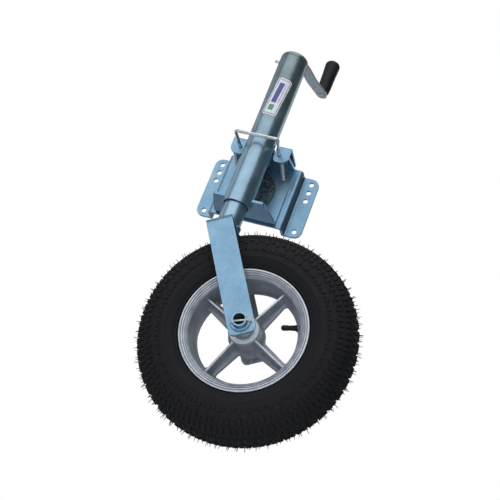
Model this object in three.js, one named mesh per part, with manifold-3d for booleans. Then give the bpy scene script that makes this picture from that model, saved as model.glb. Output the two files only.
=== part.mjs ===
// Top-wind swivel trailer jack with a pneumatic caster wheel.
// Millimetres, +Z up along the jack tube, +Y into the trailer frame, origin on the mounting plane.
import * as THREE from "three";
import { mergeVertices } from "three/addons/utils/BufferGeometryUtils.js";
import Module from "manifold-3d";

const wasm = await Module();
wasm.setup();

// ---------- driving dimensions ----------
const GAP = 0.3; // between pieces that touch
const FAR = 400; // longer than anything a cutter must pass through
const ROUND = 36; // sides of a tube

const BRACKET = { half: 101, high: 61, sheet: 4.5, crown: -27, wall: 70.5, corner: 14 };
const BOLT = { x: 87.1, r: 4.8, z: [49.5, 32.2, 14.9, -49.5] };
const DRUM = { spigot: 19.7, neck: 29.7, flange: 37.5, nose: 29.5, bore: 14, floor: 3, face: -40 };
const INDEX = { at: 48, r: 5, hole: 5.6 }; // lock pin and the holes it would drop into

const TUBE = { y: -92.8, r: 25.4, wall: 2.9, low: -70, high: 240, cap: 249 };
const INNER = { r: 20.6, bore: 18, high: 190 };
const CHANNEL = { web: -32.3, back: -27.8, sheet: 4.5, high: 58, low: -98, top: -74, half: 57 };
const LOCK = { half: 54.5, front: -86, back: -28.5, low: 64.5, high: 68.5, ear: 35, slot: 27.5 };
const BAIL = { r: 3, ear: 36.4, bar: 39.5, front: -132, z: 49.3, rise: 3.4, corner: 7 };

const SCREW = { r: 7.8, low: -60, collar: 226, shaft: 6.8 };
const CRANK = { turn: 23, length: 105, half: 10, thick: 5.5, base: 250.5, step: -4.5 };
const GRIP = { low: 252.5, high: 323.5, small: 11.5, big: 14.3, pin: 4 };

const WHEEL = { x: 101.2, y: TUBE.y, z: -292.1 };
const FORK = { lean: 30.9, half: 65, sheet: 6, wide: 43.6, above: 197, below: 19.8, bend: 14 };
const AXLE = { r: 11.7, bore: 9.6, out: 11.4, pin: 1.6 };
const HUB = { r: 25.6, half: 32, bore: 16 };
const SPOKE = { first: 64, web: 7, root: 24, tip: 18, rib: 4 };
const STEM = { turn: 24, r: 4.6, from: 80.5, to: 56 };

// ---------- helpers ----------
const rad = THREE.MathUtils.degToRad;
const v2 = (p) => new THREE.Vector2(p[0], p[1]);
const v3 = (x, y, z) => new THREE.Vector3(x, y, z);

// A closed solid from any geometry, its faces turned outwards.
function solid(geometry) {
  const bare = new THREE.BufferGeometry();
  const flat = geometry.index ? geometry.toNonIndexed() : geometry;
  bare.setAttribute("position", flat.getAttribute("position"));
  const merged = mergeVertices(bare, 1e-3);
  const build = (triVerts) =>
    new wasm.Manifold(
      new wasm.Mesh({ numProp: 3, vertProperties: merged.attributes.position.array, triVerts }),
    );
  const tris = new Uint32Array(merged.index.array);
  const made = build(tris);
  return made.volume() < 0 ? build(tris.reverse()) : made;
}

function geometryOf(s) {
  const m = s.getMesh();
  const xyz = new Float32Array(m.numVert * 3);
  for (let i = 0; i < m.numVert; i++)
    xyz.set(m.vertProperties.subarray(i * m.numProp, i * m.numProp + 3), i * 3);
  const g = new THREE.BufferGeometry();
  g.setAttribute("position", new THREE.BufferAttribute(xyz, 3));
  g.setIndex(new THREE.BufferAttribute(m.triVerts, 1));
  const out = g.toNonIndexed();
  out.computeVertexNormals();
  return out;
}

// A closed outline whose corners [x, y, radius] are rounded.
function outline(corners, steps = 6) {
  const pts = [];
  corners.forEach(([x, y, r = 0], i) => {
    const here = v2([x, y]);
    if (!r) return pts.push(here);
    const before = v2(corners.at(i - 1)).sub(here).normalize();
    const after = v2(corners[(i + 1) % corners.length]).sub(here).normalize();
    const half = Math.acos(THREE.MathUtils.clamp(before.dot(after), -1, 1)) / 2;
    const middle = before.clone().add(after).normalize().multiplyScalar(r / Math.sin(half)).add(here);
    const from = before.multiplyScalar(r / Math.tan(half)).add(here).sub(middle);
    const to = after.multiplyScalar(r / Math.tan(half)).add(here).sub(middle);
    const sweep = Math.atan2(from.cross(to), from.dot(to));
    for (let k = 0; k <= steps; k++)
      pts.push(from.clone().rotateAround(v2([0, 0]), (sweep * k) / steps).add(middle));
  });
  return new THREE.Shape(pts);
}

const extrude = (shape, depth) =>
  new THREE.ExtrudeGeometry(shape, { depth, bevelEnabled: false, curveSegments: 8 });
// Outlines drawn in XY and raised along Z, in XZ and run along Y, in YZ and run along X.
const alongZ = (shape, low, high) => solid(extrude(shape, high - low).translate(0, 0, low));
const alongY = (shape, low, high) =>
  solid(extrude(shape, high - low).rotateX(Math.PI / 2).translate(0, high, 0));
const alongX = (shape, low, high) =>
  solid(
    extrude(shape, high - low)
      .applyMatrix4(new THREE.Matrix4().makeBasis(v3(0, 1, 0), v3(0, 0, 1), v3(1, 0, 0)))
      .translate(low, 0, 0),
  );

// Turned pieces: profile points are [radius, distance along the axis].
const turnedY = (points, at = [0, 0, 0], sides = ROUND) =>
  solid(new THREE.LatheGeometry(points.map(v2), sides).translate(...at));
const turnedZ = (points, at = [0, TUBE.y, 0], sides = ROUND) =>
  solid(new THREE.LatheGeometry(points.map(v2), sides).rotateX(Math.PI / 2).translate(...at));
const rod = (r, a, b) => [[0, a], [r, a], [r, b], [0, b]];
const ring = (inner, outer, a, b) => [[inner, a], [outer, a], [outer, b], [inner, b], [inner, a]];

const box = (x0, x1, y0, y1, z0, z1) =>
  solid(
    new THREE.BoxGeometry(x1 - x0, y1 - y0, z1 - z0).translate(
      (x0 + x1) / 2, (y0 + y1) / 2, (z0 + z1) / 2),
  );

// A round bar along a path: straight runs between points, with each inner corner rounded.
class BentPath extends THREE.Curve {
  constructor(points, radius) {
    super();
    this.path = new THREE.CurvePath();
    let last = points[0];
    for (let i = 1; i < points.length - 1; i++) {
      const here = points[i];
      const cut = (p) => here.clone().add(p.clone().sub(here).setLength(radius));
      this.path.add(new THREE.LineCurve3(last, cut(points[i - 1])));
      this.path.add(new THREE.QuadraticBezierCurve3(cut(points[i - 1]), here, cut(points[i + 1])));
      last = cut(points[i + 1]);
    }
    this.path.add(new THREE.LineCurve3(last, points.at(-1)));
  }
  getPoint(t) {
    return this.path.getPointAt(THREE.MathUtils.clamp(t, 0, 1));
  }
}

function bar(curve, r, steps, sides = 10) {
  const section = new THREE.Shape();
  for (let i = 0; i < sides; i++) {
    const a = (2 * Math.PI * i) / sides;
    section[i ? "lineTo" : "moveTo"](r * Math.cos(a), r * Math.sin(a));
  }
  return solid(new THREE.ExtrudeGeometry(section, { steps, extrudePath: curve, curveSegments: 1 }));
}

// ---------- parts list ----------
const group = new THREE.Group();
const FINISH = {
  zinc: [0x9db6cb, 0.38, 0.9],
  zincDark: [0x7f95a8, 0.42, 0.9],
  wire: [0xc9ccc8, 0.25, 1],
  cast: [0x6c7074, 0.5, 0.8],
  steel: [0x8b8f92, 0.35, 1],
  brass: [0xb08d4a, 0.35, 1],
  nylon: [0xd9d6cc, 0.5, 0],
  grip: [0x171b22, 0.45, 0],
  rubber: [0x1d1d20, 0.85, 0],
  label: [0xe9ebf2, 0.55, 0],
};
function add(name, made, finish) {
  const [color, roughness, metalness] = FINISH[finish];
  const mesh = new THREE.Mesh(
    geometryOf(made),
    new THREE.MeshStandardMaterial({ color, roughness, metalness }),
  );
  mesh.name = name;
  group.add(mesh);
}

// ---------- fixed bracket ----------
{
  const { half, high, sheet, crown, wall, corner } = BRACKET;
  const inside = wall - sheet;
  const hat = outline([
    [-half, 0], [-inside, 0, 2], [-inside, crown + sheet, 2], [inside, crown + sheet, 2],
    [inside, 0, 2], [half, 0], [half, -sheet], [wall, -sheet, 3], [wall, crown, 6],
    [-wall, crown, 6], [-wall, -sheet, 3], [-half, -sheet],
  ], 3);
  const face = outline([
    [-half, -high, corner], [half, -high, corner], [half, high, corner], [-half, high, corner],
  ], 4);
  let made = alongZ(hat, -high, high).intersect(alongY(face, crown - 1, 1));
  for (const side of [-1, 1])
    for (const z of BOLT.z)
      made = made.subtract(turnedY(rod(BOLT.r, -sheet - 1, 1), [side * BOLT.x, 0, z], 16));
  made = made.subtract(turnedY(rod(DRUM.spigot + GAP, crown - 1, crown + sheet + 1)));
  for (const [x, z] of [[0, INDEX.at], [-INDEX.at, 0]])
    made = made.subtract(turnedY(rod(INDEX.hole, crown - 1, crown + sheet + 1), [x, 0, z], 16));
  add("mount_bracket", made, "zinc");

  const seat = crown - GAP;
  const retain = CHANNEL.web - 0.6;
  const { spigot, neck, flange, nose, bore, floor, face: tip } = DRUM;
  const end = crown + sheet + 1;
  add("pivot_drum", turnedY([
    [0, end], [spigot, end], [spigot, seat], [neck, seat],
    [neck, retain], [flange, retain], [flange, retain - 3.3], [nose, retain - 3.3],
    [nose, tip], [nose - 6, tip], [nose - 6, tip + 3], [bore, tip + 3],
    [bore, end - floor], [0, end - floor],
  ]), "zincDark");
}

// ---------- swinging jack body ----------
{
  const { web, back, sheet, high, low, top, half } = CHANNEL;
  const section = outline([
    [back, high, 5], [back, -high, 5], [low, -high], [low, -high + sheet],
    [web, -high + sheet, 1], [web, high - sheet, 1], [top, high - sheet], [top, high],
  ]);
  const waist = [[57, -34], [55, -50], [52, -66], [49, -84]];
  const plan = outline([
    [-half, back + 1], [half, back + 1], ...waist, [46.5, low, 5], [-46.5, low, 5],
    ...waist.map(([x, y]) => [-x, y]).reverse(),
  ]);
  const saddle = turnedZ(rod(TUBE.r + GAP, -high - 1, high + 1));
  const made = alongX(section, -half, half)
    .intersect(alongZ(plan, -high - 1, high + 1))
    .subtract(saddle)
    .subtract(turnedY(rod(DRUM.neck + GAP, web - 1, back + 1)))
    .subtract(turnedY(rod(INDEX.r + 0.6, web - 1, back + 1), [0, 0, INDEX.at], 24))
    .subtract(box(-15, 15, -63, -46, high - sheet - 1, high + 1));
  add("swivel_channel", made, "zinc");
}
{
  const { r, wall, low, high, cap } = TUBE;
  const round = 5.5;
  const dome = [0, 30, 60, 90].map((a) => [
    r - round + round * Math.cos(rad(a)), cap - round + round * Math.sin(rad(a))]);
  const hole = SCREW.shaft + 0.4;
  add("outer_tube", turnedZ(ring(r - wall, r, low, high)), "zinc");
  add("top_cap", turnedZ([
    [hole, high + GAP], [r, high + GAP], ...dome, [hole, cap], [hole, high + GAP],
  ]), "zinc");
  add("guide_bush", turnedZ(ring(INNER.r + GAP, r - wall - GAP, low + 0.5, low + 25)), "nylon");
  add("thrust_bearing", turnedZ(ring(SCREW.shaft + 0.5, 16, SCREW.collar + 4.3, high)), "steel");
  const nipple = [[0, 0], [4, 0], [4, 3], [2, 3.6], [2, 5.4], [3, 6.3], [2.6, 8.6], [0, 9.2]];
  add("grease_nipple",
    solid(new THREE.LatheGeometry(nipple.map(v2), 12).rotateZ(Math.PI / 2)
      .translate(-r - GAP, TUBE.y, high - 4)), "wire");

  const label = { from: -22, to: 37, low: 107, high: 185, thick: 0.5 };
  const arc = (radius, a) => [radius * Math.sin(rad(a)), TUBE.y - radius * Math.cos(rad(a))];
  const turns = Array.from({ length: 9 }, (_, i) => label.from + ((label.to - label.from) * i) / 8);
  const skin = r + 0.15;
  add("sticker", alongZ(new THREE.Shape([
    ...turns.map((a) => v2(arc(skin, a))),
    ...turns.reverse().map((a) => v2(arc(skin + label.thick, a))),
  ]), label.low, label.high), "label");
}

// Tension springs from the lock plate's ears back to the channel's web.
class Coil extends THREE.Curve {
  constructor(from, to, r, turns) {
    super();
    Object.assign(this, { from, to, r, turns });
  }
  getPoint(t) {
    const end = 0.1; // share of the length that is straight hook at each end
    const k = THREE.MathUtils.clamp((t - end) / (1 - 2 * end), 0, 1);
    const reach = this.r * Math.min(1, Math.min(t, 1 - t) / end);
    const a = 2 * Math.PI * this.turns * k;
    return this.from.clone().lerp(this.to, t)
      .add(v3(reach * Math.cos(a), 0, reach * Math.sin(a)));
  }
}
for (const [side, name] of [[1, "spring_right"], [-1, "spring_left"]]) {
  const from = v3(side * 43.5, LOCK.front + 4.8, 40);
  const to = v3(side * 44.5, CHANNEL.web - 1.2, 28);
  add(name, bar(new Coil(from, to, 2.8, 9), 0.65, 92, 5), "wire");
}

// ---------- lock plate and its bail ----------
{
  const { half, front, back, low, high, ear, slot } = LOCK;
  const section = outline([
    [front, ear], [front + 4, ear], [front + 4, low, 1], [back, low], [back, high],
    [front, high, 5],
  ]);
  const face = outline([
    [-half, high], [half, high], [half, ear, 14], [slot, ear, 8], [slot, low], [-slot, low],
    [-slot, ear, 8], [-half, ear, 14],
  ]);
  const opening = outline([
    [-slot, front - 5], [slot, front - 5], [slot, -56, 20], [-slot, -56, 20]]);
  let made = alongX(section, -half, half)
    .intersect(alongY(face, front - 1, back + 1))
    .subtract(alongZ(opening, ear - 1, high + 1))
    .add(box(-13, 13, -52, -48, INDEX.at - 7, low + 1));
  for (const side of [-1, 1])
    made = made.subtract(
      turnedY(rod(BAIL.r + 0.5, front - 1, front + 5), [side * BAIL.ear, 0, BAIL.z], 24));
  add("lock_plate", made, "zinc");
  add("lock_pin", turnedY([[0, -47.7], [INDEX.r, -47.7], [INDEX.r, -29.5],
    [INDEX.r - 1.2, CHANNEL.back - GAP], [0, CHANNEL.back - GAP]], [0, 0, INDEX.at], 24), "steel");

  const end = (s, y) => v3(s * BAIL.ear, y, BAIL.z);
  const corner = (s) => v3(s * BAIL.bar, BAIL.front, BAIL.z + BAIL.rise);
  const path = new BentPath(
    [end(-1, front + 7), end(-1, front), corner(-1), corner(1), end(1, front), end(1, front + 7)],
    BAIL.corner * 0.9);
  let wire = bar(path, BAIL.r, 50, 8);
  for (const side of [-1, 1])
    wire = wire.add(turnedY(rod(4.4, front + 5, front + 7.6), [side * BAIL.ear, 0, BAIL.z], 16));
  add("bail", wire, "wire");
}

// ---------- screw and crank ----------
{
  const { r, low, collar, shaft } = SCREW;
  const top = CRANK.base - GAP;
  add("screw", turnedZ([
    [0, low], [r - 2, low], [r, low + 2], [r, collar], [15, collar], [15, collar + 4],
    [shaft, collar + 4], [shaft, top], [5, top], [5, top + 8], [3.5, top + 9.5], [0, top + 9.5],
  ], undefined, 24), "steel");

  const { turn, length, half, thick, base, step } = CRANK;
  const dip = [[-half, base], [38, base], [64, base + step], [length + half, base + step]];
  const side = new THREE.Shape([...dip.map(v2), ...dip.reverse().map(([t, z]) => v2([t, z + thick]))]);
  const plan = outline([
    [-half, -half, half - 0.01], [length + half, -half, half - 0.01],
    [length + half, half, half - 0.01], [-half, half, half - 0.01]], 8);
  // The arm is drawn along X, then turned to where it points.
  const flat = extrude(side, 2 * half).rotateX(Math.PI / 2).translate(0, half, 0);
  const hole = (at, radius) => turnedZ(rod(radius, base - 20, base + 40), [at, 0, 0], 24);
  const arm = solid(flat)
    .intersect(alongZ(plan, base - 5, base + 20))
    .subtract(hole(0, 5.3))
    .subtract(hole(length, GRIP.pin + GAP));
  const place = (s) => s.rotate([0, 0, 90 - turn]).translate([0, TUBE.y, 0]);
  add("crank_arm", place(arm), "zinc");

  const under = base + step - GAP;
  add("crank_pin", place(turnedZ([
    [0, under - 2.6], [5.5, under - 2.6], [7, under - 1], [7, under], [GRIP.pin, under],
    [GRIP.pin, GRIP.high - 10], [0, GRIP.high - 10],
  ], [length, 0, 0], 24)), "wire");

  const { low: foot, high: tip, small, big } = GRIP;
  const crown = [0, 22.5, 45, 67.5, 90].map((a) => [
    big - 9 + 9 * Math.cos(rad(a)), tip - 9 + 9 * Math.sin(rad(a))]);
  const bore = GRIP.pin + GAP;
  add("grip", place(turnedZ([
    [bore, foot], [small - 1, foot], [small, foot + 1.5], [small + 1, foot + 12],
    [big - 1.2, foot + 40], ...crown, [0, tip], [0, tip - 8], [bore, tip - 8], [bore, foot],
  ], [length, 0, 0], 32)), "grip");
}

// ---------- lifting nut and inner tube ----------
const lean = rad(FORK.lean);
const up = v3(-Math.sin(lean), 0, Math.cos(lean)); // along the fork, away from the axle
const across = v3(Math.cos(lean), 0, Math.sin(lean)); // across its flat bar
const onAxle = (g, x, y) =>
  solid(g.applyMatrix4(new THREE.Matrix4().makeBasis(x, y, x.clone().cross(y)))
    .translate(WHEEL.x, WHEEL.y, WHEEL.z));
{
  const { r, bore, high } = INNER;
  const thread = SCREW.r + GAP;
  add("screw_nut", turnedZ([
    [thread, high - 18], [bore - 0.4, high - 18], [bore - 0.4, high + GAP], [r - 0.2, high + GAP],
    [r - 0.2, high + 4.5], [thread, high + 4.5], [thread, high - 18],
  ], undefined, 24), "brass");
  // The tube's foot is cut to the slope of the fork's bridge.
  const below = new THREE.BoxGeometry(FAR, FAR, FAR).translate(0, FORK.above + GAP - FAR / 2, 0);
  const foot = onAxle(below, v3(0, 1, 0), up);
  add("inner_tube", turnedZ(ring(bore, r, -160, high)).subtract(foot), "zinc");
  add("inner_guide", turnedZ(ring(r + GAP, TUBE.r - TUBE.wall - GAP, high - 30, high - 4)), "nylon");
}

// ---------- fork and axle ----------
{
  const { half, sheet, wide, above, below, bend } = FORK;
  const inner = half - sheet;
  const shape = outline([
    [-half, -below], [-inner, -below], [-inner, above - sheet, bend - sheet],
    [inner, above - sheet, bend - sheet], [inner, -below], [half, -below],
    [half, above, bend], [-half, above, bend],
  ], 6);
  const strap = onAxle(extrude(shape, wide).translate(0, 0, -wide / 2), v3(0, 1, 0), up);
  const side = outline([
    [-wide / 2, -below, 9], [wide / 2, -below, 9], [wide / 2, above + 1], [-wide / 2, above + 1]]);
  const mask = onAxle(extrude(side, 3 * half).translate(0, 0, -1.5 * half), across, up);
  const at = [WHEEL.x, WHEEL.y, WHEEL.z];
  const bore = turnedY(rod(AXLE.r + GAP, -2 * half, 2 * half), at);
  add("fork", strap.intersect(mask).subtract(bore), "zinc");

  const end = half + AXLE.out;
  const pinAt = half + 5.4;
  let axle = turnedY(ring(AXLE.bore, AXLE.r, -end, end), at);
  const cross = (r) =>
    solid(new THREE.CylinderGeometry(r, r, 60, 12).rotateZ(Math.PI / 2));
  for (const s of [-1, 1])
    axle = axle.subtract(cross(AXLE.pin + GAP).translate([at[0], at[1] + s * pinAt, at[2]]));
  add("axle", axle, "zincDark");
  for (const [s, name] of [[-1, "near"], [1, "far"]]) {
    const y = (d) => at[1] + s * d;
    const [a, b] = [half + GAP, half + 3.1].map((d) => s * d).sort((p, q) => p - q);
    add("axle_washer_" + name, turnedY(ring(AXLE.r + GAP, 16.5, a, b), at, 32), "wire");
    const pin = new BentPath([
      v3(at[0] + 15, y(pinAt), at[2]), v3(at[0] - 16, y(pinAt), at[2]),
      v3(at[0] - 19, y(pinAt + 5), at[2] - 2)], 2);
    add("split_pin_" + name, bar(pin, AXLE.pin, 16, 8), "wire");
    const [c, d] = [HUB.half + 0.6, inner - GAP].map((q) => s * q).sort((p, q) => p - q);
    add("axle_spacer_" + name, turnedY(ring(AXLE.r + GAP, 15, c, d), at, 32), "zincDark");
    const [e, f] = [8, HUB.half].map((q) => s * q).sort((p, q) => p - q);
    add("hub_bush_" + name, turnedY(ring(AXLE.r + 0.25, HUB.bore - GAP, e, f), at, 32), "nylon");
  }
}

// ---------- wheel ----------
const mirrored = (half) => [...half, ...half.map(([r, y]) => [r, -y]).reverse()];
const AT_WHEEL = [WHEEL.x, WHEEL.y, WHEEL.z];
{
  const SIDES = 52;
  const outside = mirrored([[104.4, -37.2], [104.4, -34.2], [95, -33.2], [94.4, -21], [88.5, -15]]);
  const inside = mirrored([[101.5, -37.6], [96.5, -35.4], [92, -33.8], [89, -31], [86, -20],
    [82, -8]]);
  let rim = turnedY([...outside, ...inside.reverse(), outside[0]], [0, 0, 0], SIDES);
  const hub = outline([
    [HUB.bore, -HUB.half], [HUB.r, -HUB.half, 1.5], [HUB.r, HUB.half, 1.5], [HUB.bore, HUB.half]],
    2).getPoints();
  rim = rim.add(turnedY([...hub.map((p) => [p.x, p.y]), [HUB.bore, -HUB.half]]));
  const { web, root, tip, rib, first } = SPOKE;
  const near = HUB.bore + 5;
  const flat = new THREE.Shape([[near, -root / 2], [85, -tip / 2], [85, tip / 2], [near, root / 2]]
    .map(v2));
  const blade = new THREE.Shape([[near, -28], [87.5, -20], [87.5, 20], [near, 28]].map(v2));
  const spoke = alongY(flat, -web / 2, web / 2).add(alongZ(blade, -rib / 2, rib / 2));
  for (let k = 0; k < 4; k++) rim = rim.add(spoke.rotate([0, -(first + 90 * k), 0]));
  add("rim", rim.translate(AT_WHEEL), "cast");

  const tread = mirrored([[95.4, -32.8], [105, -33.6], [109, -38.5], [119, -45.2], [131, -48],
    [145, -46], [158, -40], [169, -30.5], [176.5, -17.5], [179, -6]]);
  const lining = mirrored([[95.4, -24.5], [104, -26.5], [114, -35.5], [131, -41.5],
    [148, -38], [161, -28.5], [168.8, -12]]);
  add("tyre", turnedY([...tread, ...lining.reverse(), tread[0]], AT_WHEEL, SIDES), "rubber");

  const { r, from, to, turn } = STEM;
  const stem = [[0, to], [r - 1.6, to], [r - 1.2, to + 9], [r - 0.4, to + 10], [r, from - 4],
    [r + 2, from - 1], [r + 2, from], [0, from]];
  add("valve_stem",
    turnedZ(stem, [0, 0, 0], 20).rotate([0, 90 - turn, 0]).translate(AT_WHEEL), "rubber");
}

export default group;
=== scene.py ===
"""Finishes for a top-wind trailer jack with a pneumatic caster wheel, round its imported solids."""
import math
from functools import partial

import bmesh
import bpy
from mathutils import Matrix, Vector


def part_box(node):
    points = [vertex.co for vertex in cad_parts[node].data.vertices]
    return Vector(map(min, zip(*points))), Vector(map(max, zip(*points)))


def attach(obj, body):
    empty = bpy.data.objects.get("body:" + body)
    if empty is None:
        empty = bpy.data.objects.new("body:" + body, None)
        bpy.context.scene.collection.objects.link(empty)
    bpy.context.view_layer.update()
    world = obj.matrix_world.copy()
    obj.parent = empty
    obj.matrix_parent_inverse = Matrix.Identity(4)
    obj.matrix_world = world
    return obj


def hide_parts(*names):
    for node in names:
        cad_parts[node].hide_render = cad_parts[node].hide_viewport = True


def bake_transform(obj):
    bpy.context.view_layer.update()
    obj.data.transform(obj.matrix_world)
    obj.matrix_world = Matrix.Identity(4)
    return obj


MM = 0.001
MIX = {"data_type": "RGBA"}
MULTIPLY = {"data_type": "RGBA", "blend_type": "MULTIPLY"}
# Where nearly all of a noise pattern's values lie.
NOISE_SPAN = {"From Min": 0.3, "From Max": 0.7}
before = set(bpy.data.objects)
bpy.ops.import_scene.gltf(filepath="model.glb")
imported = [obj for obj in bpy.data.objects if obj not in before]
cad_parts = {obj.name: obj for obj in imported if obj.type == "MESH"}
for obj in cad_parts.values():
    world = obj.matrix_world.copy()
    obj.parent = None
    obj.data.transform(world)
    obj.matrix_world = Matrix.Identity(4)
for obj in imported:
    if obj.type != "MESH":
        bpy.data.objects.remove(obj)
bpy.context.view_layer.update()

# ---------- places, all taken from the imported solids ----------


def middle(node):
    """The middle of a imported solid."""
    low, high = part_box(node)
    return (low + high) / 2


def half_size(node):
    """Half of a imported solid's size along each axis."""
    low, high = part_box(node)
    return (high - low) / 2


AXLE = middle("axle")
TUBE = middle("outer_tube")
TUBE_R = half_size("outer_tube").x
INNER_R = half_size("inner_tube").x
FORK_HALF = half_size("fork").y
FORK_LEAN = math.radians(30.9)
X, Y = Vector((1, 0, 0)), Vector((0, 1, 0))

# ---------- node trees ----------


def put(tree, kind, inputs=None, stops=(), **settings):
    """Adds one node. A node as an input stands for its first output. Stops fill a colour ramp."""
    made = tree.nodes.new(kind)
    for name, value in settings.items():
        setattr(made, name, value)
    for key, value in (inputs or {}).items():
        if isinstance(value, bpy.types.Node):
            value = value.outputs[0]
        if isinstance(value, bpy.types.NodeSocket):
            tree.links.new(value, made.inputs[key])
        else:
            made.inputs[key].default_value = value
    for n, (at, code) in enumerate(stops):
        elements = made.color_ramp.elements
        stop = elements[n] if n < len(elements) else elements.new(at)
        stop.position, stop.color = at, hex_colour(code)
    return made


def hex_colour(code):
    """An sRGB hex value as linear RGBA."""
    parts = [int(code[i : i + 2], 16) / 255 for i in (1, 3, 5)]
    return [c / 12.92 if c <= 0.04045 else ((c + 0.055) / 1.055) ** 2.4 for c in parts] + [1.0]


def per_mm(size):
    """Texture scale for a pattern whose features are this many millimetres across."""
    return 1000 / size


# ---------- materials ----------


def blank_tree(made):
    """What adds a node to the emptied tree of a new material or world."""
    made.use_nodes = True
    made.node_tree.nodes.clear()
    return partial(put, made.node_tree)


def begin_material(name):
    """A material with nothing painted yet, what adds a node to it, and its Object coordinate."""
    made = bpy.data.materials.new(name)
    add = blank_tree(made)
    return made, add, add("ShaderNodeTexCoord").outputs["Object"]


def end_material(made, add, **shader):
    """Ends a material in its shader, whose inputs are plain values or what feeds them."""
    inputs = {name.replace("_", " "): value for name, value in shader.items()}
    surface = add("ShaderNodeBsdfPrincipled", inputs)
    add("ShaderNodeOutputMaterial", {"Surface": surface})
    return made


def zinc_plated_sheet():
    """Bright zinc with a blue passivate on pressed steel sheet: cool, softly mottled and lined.

    The lines that rolling leaves are far finer, and are drawn at 1.1 mm so that they show.
    """
    made, add, place = begin_material("blue_zinc_plated_sheet")
    clouds = add("ShaderNodeTexNoise", {"Vector": place, "Scale": per_mm(38), "Detail": 3})
    spangle = add("ShaderNodeTexNoise",
                  {"Vector": place, "Scale": per_mm(2.4), "Detail": 5, "Roughness": 0.7})
    rolled = add("ShaderNodeMapping", {"Vector": place, "Scale": (1, 1, 1 / 26)})
    rolling = add("ShaderNodeTexNoise",
                  {"Vector": rolled, "Scale": per_mm(1.1), "Detail": 3, "Roughness": 0.6})
    base = add("ShaderNodeValToRGB", {"Fac": clouds},
               [(0.3, "#799CB6"), (0.52, "#83A8C1"), (0.72, "#99B6C8")])
    worn = add("ShaderNodeValToRGB", {"Fac": spangle}, [(0.34, "#93A5B2"), (0.5, "#FFFFFF")])
    lines = add("ShaderNodeValToRGB", {"Fac": rolling}, [(0.35, "#C9D3DA"), (0.6, "#FFFFFF")])
    tint = add("ShaderNodeMix", {0: 0.4, 6: base, 7: worn}, **MULTIPLY).outputs[2]
    tint = add("ShaderNodeMix", {0: 0.35, 6: tint, 7: lines}, **MULTIPLY).outputs[2]
    gloss = add("ShaderNodeMapRange",
                {"Value": clouds, **NOISE_SPAN, "To Min": 0.27, "To Max": 0.38})
    bump = add("ShaderNodeBump", {"Height": spangle, "Strength": 0.14, "Distance": 0.12 * MM})
    return end_material(made, add, Base_Color=tint, Metallic=0.78, Roughness=gloss, Normal=bump)


def zinc_plated_tube():
    """Zinc on drawn steel tube: glossier than the sheet, lined lengthways, greyer towards its top.

    The lines that the die leaves are finer, and are drawn at 0.9 mm so that they show.
    """
    made, add, place = begin_material("zinc_plated_drawn_tube")
    drawn = add("ShaderNodeMapping", {"Vector": place, "Scale": (1, 1, 1 / 60)})
    draw = add("ShaderNodeTexNoise",
               {"Vector": drawn, "Scale": per_mm(0.9), "Detail": 3, "Roughness": 0.6})
    bloom = add("ShaderNodeTexNoise", {"Vector": place, "Scale": per_mm(26), "Detail": 4})
    height = add("ShaderNodeSeparateXYZ", {"Vector": place}).outputs["Z"]
    share = add("ShaderNodeMapRange", {"Value": height, "From Min": -20 * MM, "From Max": 190 * MM})
    blue = add("ShaderNodeValToRGB", {"Fac": bloom},
               [(0.3, "#86A2B4"), (0.55, "#97B5C9"), (0.75, "#A6C1D0")])
    grey = add("ShaderNodeValToRGB", {"Fac": bloom},
               [(0.3, "#7C898A"), (0.55, "#8B9A9F"), (0.75, "#97A4A6")])
    base = add("ShaderNodeMix", {0: share, 6: blue, 7: grey}, **MIX).outputs[2]
    lines = add("ShaderNodeValToRGB", {"Fac": draw}, [(0.35, "#A9B4B6"), (0.62, "#FFFFFF")])
    tint = add("ShaderNodeMix", {0: 0.28, 6: base, 7: lines}, **MULTIPLY).outputs[2]
    gloss = add("ShaderNodeMapRange",
                {"Value": bloom, **NOISE_SPAN, "To Min": 0.27, "To Max": 0.34})
    bump = add("ShaderNodeBump", {"Height": draw, "Strength": 0.12, "Distance": 0.05 * MM})
    return end_material(made, add, Base_Color=tint, Metallic=0.9, Roughness=gloss, Normal=bump)


def cast_aluminium():
    """Die-cast aluminium left as cast: mid grey, slightly grainy, dull in its pockets."""
    made, add, place = begin_material("die_cast_aluminium")
    flow = add("ShaderNodeTexNoise", {"Vector": place, "Scale": per_mm(22), "Detail": 4})
    skin = add("ShaderNodeTexNoise",
               {"Vector": place, "Scale": per_mm(1.6), "Detail": 4, "Roughness": 0.7})
    base = add("ShaderNodeValToRGB", {"Fac": flow},
               [(0.3, "#8D919C"), (0.55, "#9FA3AD"), (0.75, "#B0B4BC")])
    pits = add("ShaderNodeValToRGB", {"Fac": skin}, [(0.36, "#8E9196"), (0.52, "#FFFFFF")])
    tint = add("ShaderNodeMix", {0: 0.5, 6: base, 7: pits}, **MULTIPLY).outputs[2]
    gloss = add("ShaderNodeMapRange", {"Value": flow, **NOISE_SPAN, "To Min": 0.4, "To Max": 0.56})
    bump = add("ShaderNodeBump", {"Height": skin, "Strength": 0.3, "Distance": 0.2 * MM})
    return end_material(made, add, Base_Color=tint, Metallic=0.35, Roughness=gloss, Normal=bump)


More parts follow.
